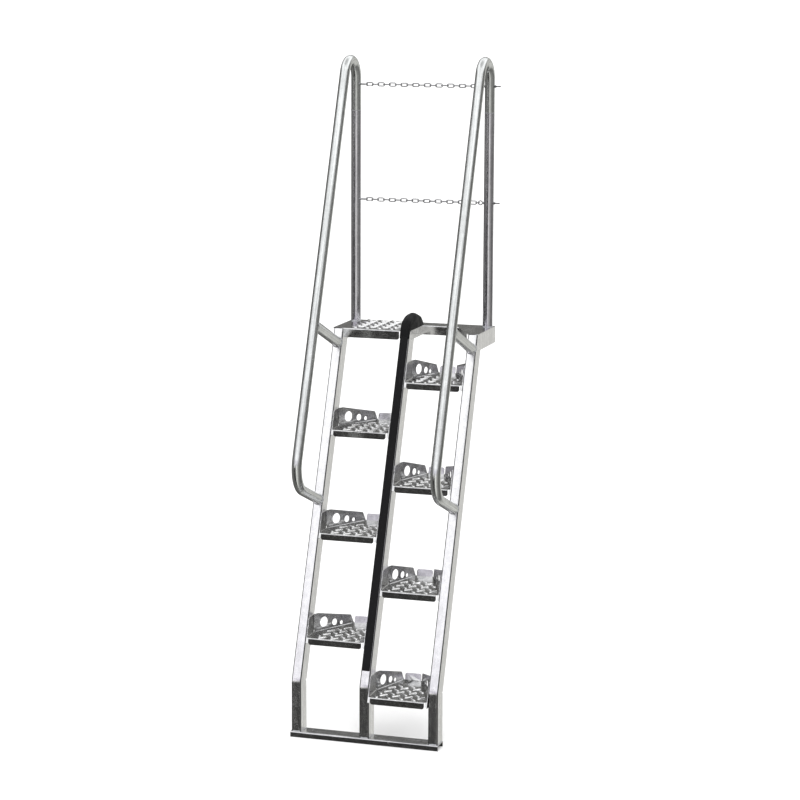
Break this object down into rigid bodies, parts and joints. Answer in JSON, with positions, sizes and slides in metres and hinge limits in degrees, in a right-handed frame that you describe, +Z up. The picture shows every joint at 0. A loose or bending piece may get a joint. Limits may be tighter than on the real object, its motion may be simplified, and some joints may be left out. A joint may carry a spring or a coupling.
{
  "type": "alternating tread stair",
  "caption": "Steep alternating-tread access stair: bent stringers, cleated half-treads, small top platform, centre guard, hoop handrails and safety chains.",
  "frame": {"origin": "floor level, middle of the width, on the underside of the floor channel's front lip", "axes": "+X to the right of a person facing the stair, +Y forward the way that person climbs, +Z up"},
  "size_m": [0.6985, 0.8766, 2.9289],
  "materials": {
    "galvanised_frame": "hot-dip galvanised, mottled satin",
    "galvanised_tread": "hot-dip galvanised sheet, satin",
    "galvanised_tube": "galvanised tube, streaked satin",
    "galvanised_hardware": "zinc plated, satin",
    "guard_rubber": "black moulded rubber, matte"
  },
  "bodies": {
    "stair": {"base_channel": "galvanised_frame", "left_stringer": "galvanised_frame", "center_stringer": "galvanised_frame", "right_stringer": "galvanised_frame", "tread_1": "galvanised_tread", "tread_2": "galvanised_tread", "tread_3": "galvanised_tread", "tread_4": "galvanised_tread", "tread_5": "galvanised_tread", "tread_6": "galvanised_tread", "tread_7": "galvanised_tread", "platform_deck": "galvanised_tread", "left_side_plate": "galvanised_frame", "right_side_plate": "galvanised_frame", "center_guard": "guard_rubber", "left_handrail_hoop": "galvanised_tube", "right_handrail_hoop": "galvanised_tube", "left_handrail_post": "galvanised_tube", "right_handrail_post": "galvanised_tube", "left_brace_tube": "galvanised_tube", "right_brace_tube": "galvanised_tube", "upper_chain_eyebolt": "galvanised_hardware", "lower_chain_eyebolt": "galvanised_hardware", "upper_chain_fixed_eye": "galvanised_hardware", "lower_chain_fixed_eye": "galvanised_hardware", "eyebolt_nuts": "galvanised_hardware"},
    "upper_chain_a": {"upper_chain_run_a": "galvanised_hardware"},
    "upper_chain_b": {"upper_chain_run_b": "galvanised_hardware"},
    "upper_chain_c": {"upper_chain_run_c": "galvanised_hardware"},
    "upper_hook": {"upper_chain_end_link": "galvanised_hardware", "upper_snap_hook": "galvanised_hardware"},
    "upper_gate": {"upper_hook_gate": "galvanised_hardware"},
    "lower_chain_a": {"lower_chain_run_a": "galvanised_hardware"},
    "lower_chain_b": {"lower_chain_run_b": "galvanised_hardware"},
    "lower_chain_c": {"lower_chain_run_c": "galvanised_hardware"},
    "lower_hook": {"lower_chain_end_link": "galvanised_hardware", "lower_snap_hook": "galvanised_hardware"},
    "lower_gate": {"lower_hook_gate": "galvanised_hardware"}
  },
  "joints": [
    {"name": "upper_chain_swing", "type": "hinge", "parent": "stair", "child": "upper_chain_a", "pos_m": [0.26855, 0.8212, 2.7976], "axis": [0, -1, 0], "range_deg": [0, 45]},
    {"name": "upper_chain_bend_1", "type": "hinge", "parent": "upper_chain_a", "child": "upper_chain_b", "pos_m": [0.1203, 0.8212, 2.7976], "axis": [0, -1, 0], "range_deg": [0, 13]},
    {"name": "upper_chain_bend_2", "type": "hinge", "parent": "upper_chain_b", "child": "upper_chain_c", "pos_m": [-0.0417, 0.8212, 2.7976], "axis": [0, -1, 0], "range_deg": [0, 22]},
    {"name": "upper_hook_swing", "type": "hinge", "parent": "upper_chain_c", "child": "upper_hook", "pos_m": [-0.2037, 0.8212, 2.7976], "axis": [0, -1, 0], "range_deg": [-45, 45]},
    {"name": "upper_gate_pivot", "type": "hinge", "parent": "upper_hook", "child": "upper_gate", "pos_m": [-0.2375, 0.8212, 2.7904], "axis": [0, 1, 0], "range_deg": [0, 25], "stiffness_Nm_per_rad": 0.0002},
    {"name": "lower_chain_swing", "type": "hinge", "parent": "stair", "child": "lower_chain_a", "pos_m": [0.26855, 0.8212, 2.2823], "axis": [0, -1, 0], "range_deg": [0, 60]},
    {"name": "lower_chain_bend_1", "type": "hinge", "parent": "lower_chain_a", "child": "lower_chain_b", "pos_m": [0.1203, 0.8212, 2.2823], "axis": [0, -1, 0], "range_deg": [0, 13]},
    {"name": "lower_chain_bend_2", "type": "hinge", "parent": "lower_chain_b", "child": "lower_chain_c", "pos_m": [-0.0417, 0.8212, 2.2823], "axis": [0, -1, 0], "range_deg": [0, 22]},
    {"name": "lower_hook_swing", "type": "hinge", "parent": "lower_chain_c", "child": "lower_hook", "pos_m": [-0.2037, 0.8212, 2.2823], "axis": [0, -1, 0], "range_deg": [-45, 45]},
    {"name": "lower_gate_pivot", "type": "hinge", "parent": "lower_hook", "child": "lower_gate", "pos_m": [-0.2375, 0.8212, 2.2751], "axis": [0, 1, 0], "range_deg": [0, 25], "stiffness_Nm_per_rad": 0.0002}
  ]
}
